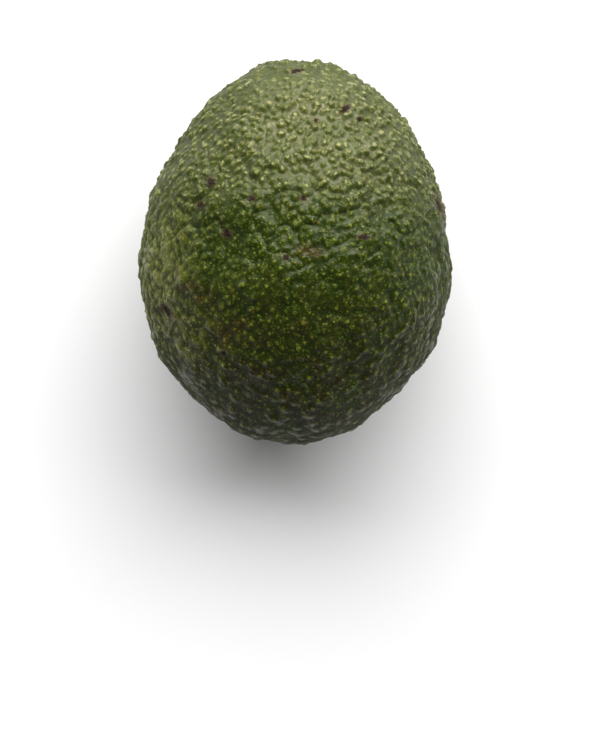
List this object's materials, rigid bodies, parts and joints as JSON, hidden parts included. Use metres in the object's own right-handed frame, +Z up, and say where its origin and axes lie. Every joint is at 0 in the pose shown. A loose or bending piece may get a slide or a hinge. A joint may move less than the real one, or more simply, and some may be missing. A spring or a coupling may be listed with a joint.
{
  "type": "avocado",
  "caption": "Whole egg-shaped avocado with pebbled green skin, lying on its side, with a dried stem stub in a shallow recess at its narrow end.",
  "frame": {"origin": "on the surface that the fruit rests on, below the middle of its box", "axes": "+Y along the fruit's length towards the stem end, +Z up as it lies"},
  "size_m": [0.0694, 0.0853, 0.0675],
  "materials": {
    "skin": "pebbled green skin with pale yellow-green dots, satin sheen",
    "stem": "dry brown woody stub, matt"
  },
  "bodies": {
    "root": {"fruit": "skin", "stem_stub": "stem"}
  },
  "joints": []
}
